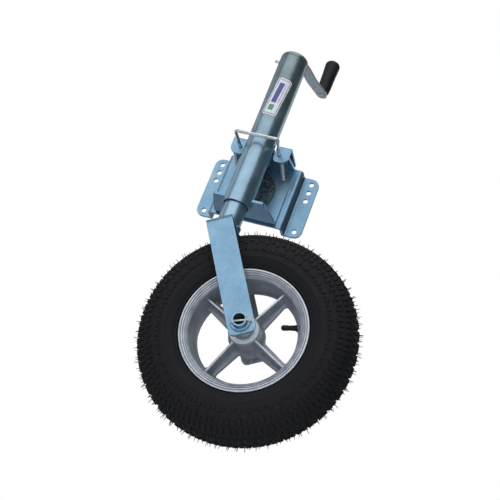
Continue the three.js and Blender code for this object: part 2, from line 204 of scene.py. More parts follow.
def mottled(name, patterns, stops, gloss=None, relief=None, **shader):
    """A finish of one or two noises, each (millimetres across, detail, roughness) and any stretch.

    The first noise gives the colour and the gloss, and the last one the relief, which is given as
    a strength and a depth in millimetres.
    """
    made, add, place = begin_material(name)
    fields = []
    for across, detail, rough, *stretch in patterns:
        at = place
        if stretch:
            at = add("ShaderNodeMapping", {"Vector": place, "Scale": stretch[0]})
        fields.append(add("ShaderNodeTexNoise", {
            "Vector": at, "Scale": per_mm(across), "Detail": detail, "Roughness": rough}))
    shader["Base_Color"] = add("ShaderNodeValToRGB", {"Fac": fields[0]}, stops)
    if gloss:
        shader["Roughness"] = add("ShaderNodeMapRange", {
            "Value": fields[0], **NOISE_SPAN, "To Min": gloss[0], "To Max": gloss[1]})
    if relief:
        shader["Normal"] = add("ShaderNodeBump", {
            "Height": fields[-1], "Strength": relief[0], "Distance": relief[1] * MM})
    return end_material(made, add, **shader)


def machined_aluminium(name, low, high, metallic):
    """The rim's casting where the tool cut it bright, its marks coarsened so that they show."""
    return mottled(name, [(14, 4, 0.5), (0.9, 3, 0.5)], [(0.3, low), (0.7, high)],
                   (0.32, 0.45), (0.15, 0.08), Metallic=metallic)


def carbon_black_moulding(name, low, high, gloss):
    """Rubber or nylon filled with carbon black: near black, with a dusty bloom and a fine grain."""
    return mottled(name, [(30, 5, 0.6), (1.2, 3, 0.6)], [(0.3, low), (0.7, high)],
                   gloss, (0.25, 0.15), IOR=1.52, Specular_IOR_Level=0.34)


def sticker_vinyl():
    """White printed vinyl: its edge line and two plain bars follow the label's own UV map."""
    made, add, place = begin_material("white_printed_vinyl")
    uv = add("ShaderNodeTexCoord").outputs["UV"]
    split = add("ShaderNodeSeparateXYZ", {"Vector": uv})
    mottle = add("ShaderNodeTexNoise", {"Vector": place, "Scale": per_mm(14), "Detail": 3})
    shade = add("ShaderNodeValToRGB", {"Fac": mottle}, [(0.3, "#E3E5F2"), (0.7, "#EFF0F8")])
    # Distance from the label's middle along each side, as a share of its size.
    inset = []
    for side in ("X", "Y"):
        off = add("ShaderNodeMath", {0: split.outputs[side], 1: 0.5}, operation="SUBTRACT")
        inset.append(add("ShaderNodeMath", {0: off}, operation="ABSOLUTE"))
    # The edge line: where it runs, its half width, and where the other side's line ends.
    edges = []
    for here, there, at, half, stop in ((0, 1, 0.415, 0.018, 0.465), (1, 0, 0.458, 0.007, 0.433)):
        on = add("ShaderNodeMath", {0: inset[here], 1: at, 2: half}, operation="COMPARE")
        within = add("ShaderNodeMath", {0: inset[there], 1: stop}, operation="LESS_THAN")
        edges.append(add("ShaderNodeMath", {0: on, 1: within}, operation="MULTIPLY"))
    line = add("ShaderNodeMath", {0: edges[0], 1: edges[1]}, operation="MAXIMUM")
    ink = hex_colour("#3A3F55")
    shade = add("ShaderNodeMix", {0: line, 6: shade, 7: ink}, **MIX).outputs[2]
    # Plain printed bars with nothing written on them: middle and half size across, then along.
    bars = [("#54569C", (0.42, 0.17), (0.6, 0.27)), ("#A9ABC8", (0.72, 0.03), (0.6, 0.25)),
            ("#4F9E6C", (0.44, 0.17), (0.2, 0.075))]
    for code, *spans in bars:
        on = [add("ShaderNodeMath", {0: split.outputs[side], 1: at, 2: half},
                  operation="COMPARE") for side, (at, half) in zip("XY", spans)]
        bar = add("ShaderNodeMath", {0: on[0], 1: on[1]}, operation="MULTIPLY")
        ink = hex_colour(code)
        shade = add("ShaderNodeMix", {0: bar, 6: shade, 7: ink}, **MIX).outputs[2]
    return end_material(made, add, Base_Color=shade, Roughness=0.38, IOR=1.5)


SHEET = zinc_plated_sheet()
DRAWN = zinc_plated_tube()
# The same plating in two streaked grey tones: a dark one that is painted shade on the steep side
# walls of pressed sections, and a lighter, less metallic one on the fork's faces towards the wheel.
STREAKS = [(2.2, 4, 0.6, (1, 1, 1 / 22))]
PAINTED_WALL_SHADE = mottled("zinc_with_painted_wall_shade", STREAKS,
               [(0.35, "#33414E"), (0.55, "#4A5C69"), (0.72, "#677985")],
               (0.36, 0.5), Metallic=0.8)
INSIDE = mottled("grey_zinc_inside_fork", STREAKS,
                 [(0.35, "#8D9499"), (0.55, "#A9AFB3"), (0.72, "#BDC2C5")],
                 (0.36, 0.5), Metallic=0.3)
# Dull zinc on hot-rolled flat bar: a grey that hardly mirrors, mottled by the scale under it.
BAR = mottled("dull_zinc_plated_bar", [(5, 5, 0.6)],
              [(0.3, "#ABB5BD"), (0.55, "#C0C9D0"), (0.75, "#CFD6DB")],
              relief=(0.15, 0.15), Metallic=0.55, Roughness=0.42)
# Bright zinc on drawn wire and small hardware: nearly white, in clean and clouded patches.
WIRE = mottled("bright_zinc_wire", [(5, 4, 0.5)],
               [(0.3, "#C1C8C8"), (0.6, "#E2E6E2"), (0.8, "#F1F2EE")], (0.15, 0.3), Metallic=0.85)
# Turned steel under a film of oil: mid grey, with the tool's rings coarsened so that they show.
STEEL = mottled("turned_steel", [(12, 4, 0.5), (0.8, 3, 0.6, (1 / 30, 1 / 30, 1))],
                [(0.3, "#6F7376"), (0.7, "#989B9B")], (0.22, 0.4), (0.15, 0.05), Metallic=1.0)
# The boss behind the tube: zinc painted dark and mottled, as painted shade for the space between
# the tube and the crown.
DRUM = mottled("zinc_drum_dark_painted_shade", [(3.5, 5, 0.65)],
               [(0.32, "#374247"), (0.52, "#5E7079"), (0.7, "#82959D")],
               (0.2, 0.5), (0.2, 0.3), Metallic=0.75)
CAST = cast_aluminium()
MACHINED = machined_aluminium("machined_cast_aluminium", "#B2B8C1", "#D0D5DB", 0.6)
# The hub's faced ends: the tool's bright cut, painted near white and barely metallic as a painted
# highlight for faces that sit in the fork's shade.
FACED = machined_aluminium("faced_aluminium_painted_highlight", "#DDE1E6", "#F3F5F7", 0.15)
TREAD = carbon_black_moulding("black_tyre_rubber", "#09090C", "#161518", (0.7, 0.84))
STEM = carbon_black_moulding("black_stem_rubber", "#111113", "#1A1A1C", (0.42, 0.58))
GRIP = carbon_black_moulding("black_moulded_polypropylene", "#0A0D11", "#12161B", (0.48, 0.6))
SEAL = carbon_black_moulding("black_moulded_nylon", "#14171A", "#1E2225", (0.4, 0.5))
# Turned brass: yellow metal, a little tarnished in patches.
BRASS = mottled("turned_brass", [(6, 5, 0.5)], [(0.3, "#9A7F3F"), (0.7, "#C7A457")],
                (0.22, 0.42), Metallic=1.0)
# Unpigmented moulded nylon: milky off-white with a soft satin skin.
NYLON = mottled("natural_moulded_nylon", [(9, 4, 0.5)], [(0.3, "#BFC3C4"), (0.7, "#D2D5D5")],
                Roughness=0.45, IOR=1.53)
VINYL = sticker_vinyl()

# ---------- mesh helpers ----------

# Edges sharper than this, in degrees, stay sharp where a piece asks for nothing else.
SHARP = 32


def linked(name, data):
    """A new object in the scene, at the origin."""
    made = bpy.data.objects.new(name, data)
    bpy.context.scene.collection.objects.link(made)
    return made


def dress(mesh, material, sharp):
    """Gives a mesh its material, and smooth shading but for edges sharper than this angle."""
    mesh.materials.clear()
    mesh.materials.append(material)
    mesh.shade_smooth()
    mesh.set_sharp_from_angle(angle=math.radians(sharp))


def object_of(name, mesh, material):
    """A mesh as a finished object at the origin."""
    dress(mesh, material, SHARP)
    return linked(name, mesh)


def mesh_from(work, name):
    """A mesh with the work's shape, once the work is done."""
    mesh = bpy.data.meshes.new(name)
    work.to_mesh(mesh)
    work.free()
    return mesh


def mesh_of(name, verts, faces):
    """A mesh from points and faces, with its doubles merged and its faces turned outwards."""
    mesh = bpy.data.meshes.new(name)
    mesh.from_pydata([tuple(v) for v in verts], [], faces)
    work = bmesh.new()
    work.from_mesh(mesh)
    bmesh.ops.remove_doubles(work, verts=work.verts, dist=1e-6)
    bmesh.ops.recalc_face_normals(work, faces=work.faces)
    work.to_mesh(mesh)
    work.free()
    return mesh


def baked(made, material=None, sharp=SHARP):
    """The object with its modifiers made a plain mesh, its shading kept if material is None."""
    seen = made.evaluated_get(bpy.context.evaluated_depsgraph_get())
    mesh = bpy.data.meshes.new_from_object(seen)
    if made.type == "MESH":
        made.modifiers.clear()
        made.data = mesh
    else:
        # A curve hands its name and place to a mesh object.
        name = made.name
        bpy.data.objects.remove(made)
        made = linked(name, mesh)
    if material:
        dress(mesh, material, sharp)
    return made


def turned(name, profile, centre, axis, material, steps, side=X):
    """A turned piece: profile points are (radius, distance along the axis), in millimetres."""
    up = axis.cross(side)
    verts = []
    for k in range(steps):
        a = 2 * math.pi * k / steps
        out = side * math.cos(a) + up * math.sin(a)
        verts += [centre + (out * r + axis * d) * MM for r, d in profile]
    n = len(profile)
    faces = []
    for k in range(steps):
        for i in range(n):
            j = (i + 1) % n
            ring, after = k * n, (k + 1) % steps * n
            faces.append((ring + i, ring + j, after + j, after + i))
    return object_of(name, mesh_of(name, verts, faces), material)


def joined(name, pieces, material):
    """Several objects of one material as one piece."""
    work = bmesh.new()
    for piece in pieces:
        work.from_mesh(piece.data)
        bpy.data.objects.remove(piece)
    return object_of(name, mesh_from(work, name), material)


def break_edges(made, width, segments, angle):
    """Rounds the edges sharper than this angle, by a width in millimetres."""
    bevel = made.modifiers.new("broken_edges", "BEVEL")
    bevel.width, bevel.segments = width * MM, segments
    bevel.limit_method = "ANGLE"
    bevel.angle_limit = math.radians(angle)


def softened(name, node, material, edge, segments=2):
    """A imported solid's shape with its sharp edges broken, as pressing and plating leave them."""
    work = bmesh.new()
    work.from_mesh(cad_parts[node].data)
    bmesh.ops.remove_doubles(work, verts=work.verts, dist=2e-6)
    bmesh.ops.dissolve_limit(work, angle_limit=math.radians(1), verts=work.verts, edges=work.edges)
    made = object_of(name, mesh_from(work, name), material)
    break_edges(made, edge, segments, 40)
    # Flat faces keep flat shading right up to their broken edges.
    even = made.modifiers.new("even_faces", "WEIGHTED_NORMAL")
    even.keep_sharp = True
    even.weight = 100
    return baked(made)


def coat(made, material, chosen):
    """Gives the faces that a test picks a second finish."""
    made.data.materials.append(material)
    for face in made.data.polygons:
        if chosen(face):
            face.material_index = 1
    return made


def paint_shade_on_walls(made):
    """Paints shade on the steep side walls of a pressed section, in a darker copy of the plating.
    """
    return coat(made, PAINTED_WALL_SHADE, lambda face: abs(face.normal.x) > 0.9 and face.area > (3 * MM) ** 2)


def grey_inside_faces(made):
    """Gives the fork's faces that look at the wheel a lighter grey, less metallic copy of the
    plating.
    """

    def faces_wheel(face):
        towards = AXLE.y - face.center.y
        return face.normal.y * towards > 0.9 * abs(towards)

    return coat(made, INSIDE, faces_wheel)


def settle(made, body, slot, *nodes):
    """Rides a piece on its body and hides the solids that it stands for. Its slot is not used."""
    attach(made, body)
    if nodes:
        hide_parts(*nodes)
    return made


def refine(name, node, material, edge, body, slot, segments=2):
    """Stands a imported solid's own shape, with its edges broken, in its place."""
    return settle(softened(name, node, material, edge, segments), body, slot, node)


def keep(node, material):
    """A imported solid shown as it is, with its finish in its own material slot."""
    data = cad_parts[node].data
    data.materials.clear()
    data.materials.append(material)


# ---------- geometry node trees ----------


def begin_tree(name, **inputs):
    """A geometry tree whose named inputs are these, each a type and a default, and a material."""
    tree = bpy.data.node_groups.new(name, "GeometryNodeTree")
    tree.interface.new_socket("Geometry", in_out="OUTPUT", socket_type="NodeSocketGeometry")
    tree.interface.new_socket("Geometry", in_out="INPUT", socket_type="NodeSocketGeometry")
    inputs["Material"] = ("Material", None)
    for label, (kind, value) in inputs.items():
        socket = tree.interface.new_socket(label, in_out="INPUT", socket_type="NodeSocket" + kind)
        if value is not None:
            socket.default_value = value
    add = partial(put, tree)
    return tree, add, add("NodeGroupInput").outputs


def end_tree(tree, add, geometry, material):
    """Ends a tree in Realize Instances and Set Material."""
    solid = add("GeometryNodeRealizeInstances", {"Geometry": geometry})
    coated = add("GeometryNodeSetMaterial", {"Geometry": solid, "Material": material})
    add("NodeGroupOutput", {"Geometry": coated})
    return tree


def run_tree(made, tree, material, sharp, **values):
    """Runs a tree on an object once, with its named inputs set, and keeps the plain mesh."""
    values["Material"] = material
    step = made.modifiers.new(tree.name, "NODES")
    step.node_group = tree
    for item in tree.interface.items_tree:
        if item.in_out == "INPUT" and item.name in values:
            step[item.identifier] = values[item.name]
    return baked(made, material, sharp)


def round_the_axle_tree():
    """Copies of a mesh drawn at the origin, turned in even steps about Y and set on the axle."""
    tree, add, given = begin_tree("round_the_axle", Count=("Int", 4), First=("Float", 0.0),
                                  Centre=("Vector", None))
    spots = add("GeometryNodeMeshLine", {"Count": given["Count"], "Offset": (0, 0, 0)})
    index = add("GeometryNodeInputIndex")
    share = add("ShaderNodeMath", {0: index, 1: given["Count"]}, operation="DIVIDE")
    angle = add("ShaderNodeMath", {0: share, 1: 2 * math.pi, 2: given["First"]},
                operation="MULTIPLY_ADD")
    turn = add("ShaderNodeCombineXYZ", {"Y": angle})
    copies = add("GeometryNodeInstanceOnPoints",
                 {"Points": spots, "Instance": given["Geometry"], "Rotation": turn})
    placed = add("GeometryNodeTransform", {"Geometry": copies, "Translation": given["Centre"]})
    return end_tree(tree, add, placed, given["Material"])


def whisker_tree():
    """Moulding whiskers in a ring about Y: one slim cone, scattered in angle, lean and length."""
    tree, add, given = begin_tree("moulding_whiskers", Count=("Int", 60), Radius=("Float", 0.18),
                                  Across=("Float", 0.0), Splay=("Float", 0.0),
                                  Length=("Float", 0.007), Seed=("Int", 1),
                                  Centre=("Vector", None))
    spots = add("GeometryNodeMeshLine", {"Count": given["Count"], "Offset": (0, 0, 0)})
    index = add("GeometryNodeInputIndex")
    jitter = add("FunctionNodeRandomValue",
                 {"Min": -0.32, "Max": 0.32, "Seed": given["Seed"]}, data_type="FLOAT")
    # Random Value shows one output for each data type; the float ones are used by their index.
    loose = add("ShaderNodeMath", {0: index, 1: jitter.outputs[1]}, operation="ADD")
    share = add("ShaderNodeMath", {0: loose, 1: given["Count"]}, operation="DIVIDE")
    angle = add("ShaderNodeMath", {0: share, 1: 2 * math.pi}, operation="MULTIPLY")
    out_x = add("ShaderNodeMath", {0: angle}, operation="SINE")
    out_z = add("ShaderNodeMath", {0: angle}, operation="COSINE")
    out = add("ShaderNodeCombineXYZ", {"X": out_x, "Z": out_z})
    foot = add("ShaderNodeVectorMath", {0: out, "Scale": given["Radius"]}, operation="SCALE")
    shift = add("ShaderNodeCombineXYZ", {"Y": given["Across"]})
    at = add("ShaderNodeVectorMath", {0: foot, 1: shift}, operation="ADD")
    placed = add("GeometryNodeSetPosition", {"Geometry": spots, "Position": at})
    lean = add("FunctionNodeRandomValue",
               {"Min": (-0.28, -0.2, -0.28), "Max": (0.28, 0.2, 0.28), "Seed": given["Seed"]},
               data_type="FLOAT_VECTOR")
    splayed = add("ShaderNodeCombineXYZ", {"Y": given["Splay"]})
    aim = add("ShaderNodeVectorMath", {0: out, 1: splayed}, operation="ADD")
    aim = add("ShaderNodeVectorMath", {0: aim, 1: lean}, operation="ADD")
    turn = add("FunctionNodeAlignRotationToVector", {"Vector": aim}, axis="Z")
    long = add("FunctionNodeRandomValue", {"Min": 0.45, "Max": 1.0, "Seed": given["Seed"]},
               data_type="FLOAT")
    tall = add("ShaderNodeMath", {0: long.outputs[1], 1: given["Length"]}, operation="MULTIPLY")
    size = add("ShaderNodeCombineXYZ", {"X": 1.0, "Y": 1.0, "Z": tall})
    copies = add("GeometryNodeInstanceOnPoints",
                 {"Points": placed, "Instance": given["Geometry"], "Rotation": turn, "Scale": size})
    moved = add("GeometryNodeTransform", {"Geometry": copies, "Translation": given["Centre"]})
    return end_tree(tree, add, moved, given["Material"])


def coil_tree():
    """A tension spring drawn along +Z from the origin: a wire helix with a hook at each end."""
    tree, add, given = begin_tree("tension_spring", Length=("Float", 0.05), Radius=("Float", 0.003),
                                  Turns=("Float", 12.0), Wire=("Float", 0.0008),
                                  Hook=("Float", 0.08))
    line = add("GeometryNodeCurvePrimitiveLine")
    fine = add("GeometryNodeResampleCurve", {"Curve": line, "Count": 340})
    along = add("GeometryNodeSplineParameter").outputs["Factor"]
    # The share of the coiled part that a point has passed, held still in the hooks.
    inner = add("ShaderNodeMath", {0: 1.0, 1: given["Hook"]}, operation="SUBTRACT")
    coiled = add("ShaderNodeMapRange",
                 {"Value": along, "From Min": given["Hook"], "From Max": inner})
    count = add("ShaderNodeMath", {0: given["Turns"], 1: 2 * math.pi}, operation="MULTIPLY")
    angle = add("ShaderNodeMath", {0: coiled, 1: count}, operation="MULTIPLY")
    last = add("ShaderNodeMath", {0: 1.0, 1: along}, operation="SUBTRACT")
    nearest = add("ShaderNodeMath", {0: along, 1: last}, operation="MINIMUM")
    swell = add("ShaderNodeMapRange", {"Value": nearest, "From Max": given["Hook"]})
    reach = add("ShaderNodeMath", {0: swell, 1: given["Radius"]}, operation="MULTIPLY")
    cos = add("ShaderNodeMath", {0: angle}, operation="COSINE")
    sin = add("ShaderNodeMath", {0: angle}, operation="SINE")
    parts = {
        "X": add("ShaderNodeMath", {0: cos, 1: reach}, operation="MULTIPLY"),
        "Y": add("ShaderNodeMath", {0: sin, 1: reach}, operation="MULTIPLY"),
        "Z": add("ShaderNodeMath", {0: along, 1: given["Length"]}, operation="MULTIPLY"),
    }
    at = add("ShaderNodeCombineXYZ", parts)
    bent = add("GeometryNodeSetPosition", {"Geometry": fine, "Position": at})
    section = add("GeometryNodeCurvePrimitiveCircle", {"Resolution": 8, "Radius": given["Wire"]})
    wire = add("GeometryNodeCurveToMesh",
               {"Curve": bent, "Profile Curve": section, "Fill Caps": True})
    return end_tree(tree, add, wire, given["Material"])


def weld_tree():
    """A weld bead along a curve: overlapping flattened drops at the welder's own step."""
    tree, add, given = begin_tree("weld_bead", Step=("Float", 0.0016), Width=("Float", 0.0026),
                                  Seed=("Int", 1))
    path = add("GeometryNodeResampleCurve",
               {"Curve": given["Geometry"], "Length": given["Step"]}, mode="LENGTH")
    spots = add("GeometryNodeCurveToPoints", {"Curve": path}, mode="EVALUATED")
    drop = add("GeometryNodeMeshIcoSphere", {"Radius": 1.0, "Subdivisions": 2})
    drift = add("FunctionNodeRandomValue", {"Min": 0.85, "Max": 1.12, "Seed": given["Seed"]},
                data_type="FLOAT")
    size = add("ShaderNodeMath", {0: drift.outputs[1], 1: given["Width"]}, operation="MULTIPLY")
    flat = add("ShaderNodeMath", {0: size, 1: 0.62}, operation="MULTIPLY")
    shape = add("ShaderNodeCombineXYZ", {"X": size, "Y": size, "Z": flat})
    copies = add("GeometryNodeInstanceOnPoints",
                 {"Points": spots, "Instance": drop,
                  "Rotation": spots.outputs["Rotation"], "Scale": shape})
    return end_tree(tree, add, copies, given["Material"])


ROUND_THE_AXLE = round_the_axle_tree()
WHISKERS = whisker_tree()
COIL = coil_tree()
WELD = weld_tree()


def line_of(name, points, cyclic=False):
    """A plain poly curve through points in metres."""
    curve = bpy.data.curves.new(name, "CURVE")
    curve.dimensions = "3D"
    spline = curve.splines.new("POLY")
    spline.points.add(len(points) - 1)
    for spot, point in zip(spline.points, points):
        spot.co = (*point, 1)
    spline.use_cyclic_u = cyclic
    return linked(name, curve)


def weld_bead(name, points, body, width, seed, cyclic=False):
    """A plated weld through points in metres. Its width is its drops' radius in millimetres."""
    made = run_tree(line_of(name, points, cyclic), WELD, SHEET, 60, Step=1.7 * MM,
                    Width=width * MM, Seed=seed)
    return settle(made, body, "zinc_plate")


def bent_bar(name, points, bend, radius, material, steps=10):
    """A round bar through points in millimetres, its corners bent this far to either side."""
    path = [Vector(points[0])]
    for i in range(1, len(points) - 1):
        before, here, after = (Vector(points[i + k]) for k in (-1, 0, 1))
        start = here + (before - here).normalized() * bend
        end = here + (after - here).normalized() * bend
        for k in range(steps + 1):
            t = k / steps
            path.append(start * (1 - t) ** 2 + here * 2 * t * (1 - t) + end * t * t)
    path.append(Vector(points[-1]))
    made = line_of(name, [p * MM for p in path])
    made.data.bevel_depth = radius * MM
    made.data.bevel_resolution = 5
    made.data.use_fill_caps = True
    return baked(made, material, 40)


# ---------- tyre ----------

# Half of the tyre's outer section, from its crown to its bead: (radius, distance from its middle).
TREAD_HALF = [(179, 0), (178.6, 6), (176, 17), (168.7, 30), (158, 39.4), (145, 45.4),
              (131, 47.4), (119, 44.8), (109, 38.2), (104.6, 33.4)]
# The ring in the tyre's core that every face of a tread block looks away from.
CORE_R = 131


def along_section(share):
    """A point and outward normal on the tyre's outer section, from crown (0) to bead (1)."""
    points = [Vector(p) for p in TREAD_HALF]
    at = share * (len(points) - 1)
    i = min(int(at), len(points) - 2)
    t = at - i
    # Catmull-Rom through the section's points keeps the shoulder round.
    a = points[i - 1] if i else Vector((points[1].x, -points[1].y))
    b, c = points[i], points[i + 1]
    d = points[i + 2] if i + 2 < len(points) else c * 2 - b
    square, cube = 2 * a - 5 * b + 4 * c - d, 3 * b - a - 3 * c + d
    spot = 0.5 * (2 * b + (c - a) * t + square * t**2 + cube * t**3)
    slope = 0.5 * ((c - a) + 2 * square * t + 3 * cube * t**2)
    normal = Vector((slope.y, -slope.x)).normalized()
    return spot, normal


def tyre_casing():
    """The tyre's body under its tread, with moulded rings on both sidewalls and a soft bead."""
    sunk, steps = 2.3, 72
    tread_end, fade = 0.66, 0.08
    # Three fine moulded rings stand on the plain part of the sidewall.
    ring_radii, ring_height, ring_width, plain_from = (107.5, 113, 123.5), 0.8, 0.9, 0.6
    outer = []
    for k in range(steps + 1):
        share = k / steps
        spot, normal = along_section(share)
        depth = sunk if share < tread_end else sunk * max(0, (tread_end + fade - share) / fade)
        ring = sum(ring_height * math.exp(-(((spot.x - r) / ring_width) ** 2))
                   for r in ring_radii if share > plain_from)
        spot = spot - normal * depth + normal * ring
        outer.append((spot.x, spot.y))
    lining = [(96, 33), (95.4, 26), (104, 26.5), (114, 35.5), (131, 41), (148, 38), (161, 28.5),
              (168.5, 12)]
    half = outer + lining
    profile = half + [(r, -y) for r, y in reversed(half[1:])]
    return turned("tyre_casing", profile, AXLE, Y, TREAD, 168)


def tread_block(shares, angles, height, side, lean):
    """One block raised on the section between two shares and two angles, with drafted walls."""
    verts, faces = [], []
    inset = (0.0, 0.16, 0.84, 1.0)
    grid = len(inset)
    # The walls run down into the casing, and the top stands at the block's height above it.
    foot, sunk = -4.2, 3.2
    for i in range(grid):
        for j in range(grid):
            edge = i in (0, grid - 1) or j in (0, grid - 1)
            share = shares[0] + (shares[1] - shares[0]) * inset[i]
            angle = angles[0] + (angles[1] - angles[0]) * inset[j] + lean * inset[i]
            spot, normal = along_section(abs(share))
            rise = foot if edge else height - sunk
            across = math.copysign(1, share) * side
            flat = spot + normal * rise
            out = Vector((math.sin(angle), 0, math.cos(angle)))
            verts.append((out * flat.x + Y * flat.y * across) * MM)
    for i in range(grid - 1):
        for j in range(grid - 1):
            a = i * grid + j
            faces.append((a, a + 1, a + grid + 1, a + grid))
    return verts, faces


def tread_sector(pitch):
    """The blocks of one pitch of the tread, drawn round the axle's place at the origin."""
    rows = [
        # share range, angle range as a share of the pitch, height, lean
        ((0.01, 0.125), (0.04, 0.46), 3.4, 0.10),
        ((0.15, 0.265), (0.30, 0.78), 3.4, -0.10),
        ((0.15, 0.265), (0.84, 1.24), 3.3, -0.10),
        ((0.29, 0.41), (0.02, 0.44), 3.3, 0.08),
        ((0.29, 0.41), (0.52, 0.94), 3.3, 0.08),
        ((0.43, 0.545), (0.10, 0.52), 3.0, 0.05),
        ((0.43, 0.50), (0.60, 1.02), 3.0, 0.05),
        ((0.57, 0.645), (0.06, 0.52), 2.6, 0.0),
        ((0.60, 0.655), (0.62, 0.96), 2.2, 0.0),
    ]
    verts, faces = [], []
    for side in (-1, 1):
        for shares, angles, height, lean in rows:
            shift = 0.5 * pitch if side > 0 else 0.0
            span_of = [a * pitch + shift for a in angles]
            more, quads = tread_block(shares, span_of, height, side, lean * pitch)
            faces += [[q + len(verts) for q in quad] for quad in quads]
            verts += more
    return mesh_of("tread_sector", verts, faces)


def outward(made):
    """Turns any face that points at the ring in the tyre's core the other way."""
    work = bmesh.new()
    work.from_mesh(made.data)
    for face in work.faces:
        spot = face.calc_center_median() - AXLE
        core = Vector((spot.x, 0, spot.z)).normalized() * CORE_R * MM
        if face.normal.dot(spot - core) < 0:
            face.normal_flip()
    work.to_mesh(made.data)
    work.free()
    return made


def tread_blocks():
    """All the tread's blocks: one pitch of them, repeated round the axle."""
    pitches = 54
    made = object_of("tread_blocks", tread_sector(2 * math.pi / pitches), TREAD)
    return outward(run_tree(made, ROUND_THE_AXLE, TREAD, 34, Count=pitches, First=0.0, Centre=AXLE))


def tyre_whiskers():
    """Rubber whiskers left by the mould's vents, in rows across the tread and shoulders."""
    # Place on the section, how many, and the longest in millimetres.
    places = [(0.06, 70, 8.6), (0.2, 76, 8.6), (0.34, 70, 7.6), (0.5, 54, 6.0), (0.62, 48, 4.4)]
    foot_radius, tip_radius, buried = 0.75 * MM, 0.34 * MM, 0.6
    rows = []
    for row, (share, count, length) in enumerate(places):
        for side in (-1, 1):
            spot, normal = along_section(share)
            cone = bmesh.new()
            bmesh.ops.create_cone(cone, cap_ends=True, segments=5, radius1=foot_radius,
                                  radius2=tip_radius, depth=1,
                                  matrix=Matrix.Translation((0, 0, 0.5)))
            made = object_of(f"whisker_row_{row}_{side}", mesh_from(cone, "whisker"), TREAD)
            splay = side * normal.y / max(0.2, normal.x)
            rows.append(run_tree(
                made, WHISKERS, TREAD, 60, Count=count, Radius=(spot.x - buried) * MM,
                Across=side * spot.y * MM, Splay=splay, Length=length * MM,
                Seed=11 + 2 * row + (side > 0), Centre=AXLE))
    return joined("tyre_whiskers", rows, TREAD)


# ---------- rim ----------


def rim_hoop():
    """The cast hoop: barrel, bead seat and the flange's turned band with its fine ridges."""
    band = [(104.4, 34.2), (104.4, 37.0), (104.0, 37.5), (101.8, 37.6), (101.3, 35.6),
            (100.3, 35.6), (99.8, 37.2), (98.2, 36.7), (97.8, 34.8), (96.8, 34.7), (96.3, 36.2),
            (94.9, 35.5), (94.5, 33.6), (93.5, 33.4), (93.0, 34.7), (91.3, 33.6), (90.0, 32.2),
            (89.0, 30.4), (88.4, 28.0)]
    barrel = [(87.2, 22), (86.0, 16), (84.2, 11), (82.4, 7.6), (82.0, 0)]
    seat = [(88.5, 0), (88.5, 15), (92.4, 19), (94.4, 22), (95.0, 33.2)]
    near = barrel[::-1] + band[::-1] + seat[::-1]
    profile = near + [(r, -y) for r, y in reversed(near[1:-1])]
    made = turned("rim_hoop", profile, AXLE, Y, CAST, 160)
    # The turned band is bright but for the floors of its grooves, which keep the darker cast finish
    # as painted shade.
    band_from, band_inside, floors, floor_half = 29.5, 88, (100.8, 97.3, 94.0), 0.45

    def bright(face):
        spot = (face.center - AXLE) / MM
        reach = math.hypot(spot.x, spot.z)
        groove = any(abs(reach - r) < floor_half for r in floors)
        return abs(spot.y) > band_from and reach > band_inside and not groove

    return coat(made, MACHINED, bright)


def machine_ends(made, past, material):
    """Gives faces that look along the axle, past this many millimetres, the tool's bright cut."""
    return coat(made, material, lambda face: abs(face.normal.y) > 0.9
                and abs(face.center.y - AXLE.y) > past * MM)


def tapered_rib(near, far, y_near, y_far, thick_root, thick_edge):
    """One side of a spoke's rib: a blade that thins to its free edge and flares out at the web."""
    flare, web_face, root = 2.4, 3.5, 6.5
    stations = [(near, y_near), ((near + far) / 2, (y_near + y_far) / 2), (far, y_far)]
    verts = []
    for reach, edge in stations:
        levels = [(web_face, thick_root + flare), (root, thick_root), (edge, thick_edge)]
        for across, half in levels:
            verts += [(reach * MM, -across * MM, half * MM), (reach * MM, -across * MM, -half * MM)]
    faces = []
    ring = 2 * len(levels)
    for start in range(0, ring * (len(stations) - 1), ring):
        for side in (0, 1):
            for a in range(start + side, start + side + ring - 2, 2):
                faces.append((a, a + 2, a + 2 + ring, a + ring))
        a = start + ring - 2
        faces.append((a, a + 1, a + 1 + ring, a + ring))
    return verts, faces


def rim_spokes(first):
    """Four cast spokes: a flat web with a deep tapered rib on each face."""
    near, far = 20.0, 85.5
    root, tip, half_web, flare = 12.5, 9.0, 3.4, 6
    web = [(near, root), (far - 9, tip), (far + 1, tip + flare), (far + 1, -tip - flare),
           (far - 9, -tip), (near, -root)]
    verts = [(x * MM, y * MM, z * MM) for y in (-half_web, half_web) for x, z in web]
    n = len(web)
    faces = [tuple(range(n)), tuple(range(2 * n - 1, n - 1, -1))]
    faces += [(i, (i + 1) % n, (i + 1) % n + n, i + n) for i in range(n)]
    for side in (1, -1):
        more, quads = tapered_rib(near, far + 1.5, 29.5, 20.5, 2.6, 1.7)
        base = len(verts)
        verts += [(x, y * side, z) for x, y, z in more]
        faces += [[q + base for q in quad] for quad in quads]
    made = object_of("rim_spokes", mesh_of("rim_spoke", verts, faces), CAST)
    break_edges(made, 0.7, 2, 35)
    return run_tree(baked(made, CAST), ROUND_THE_AXLE, CAST, 34, Count=4,
                    First=-math.radians(first), Centre=AXLE)


def rim_hub():
    """The cast hub barrel, bored for its bushes, with a turned face and a filleted waist."""
    half, hub = 32, 25.6
    side = [(16, half - 1), (17, half), (hub - 1.6, half), (hub, half - 1.6), (hub, 14),
            (hub + 1.2, 9), (hub + 4.5, 4.2), (hub + 4.5, 0)]
    profile = side + [(r, -y) for r, y in reversed(side[:-1])]
    return turned("rim_hub", profile, AXLE, Y, CAST, 80)


# ---------- small turned and bent pieces ----------


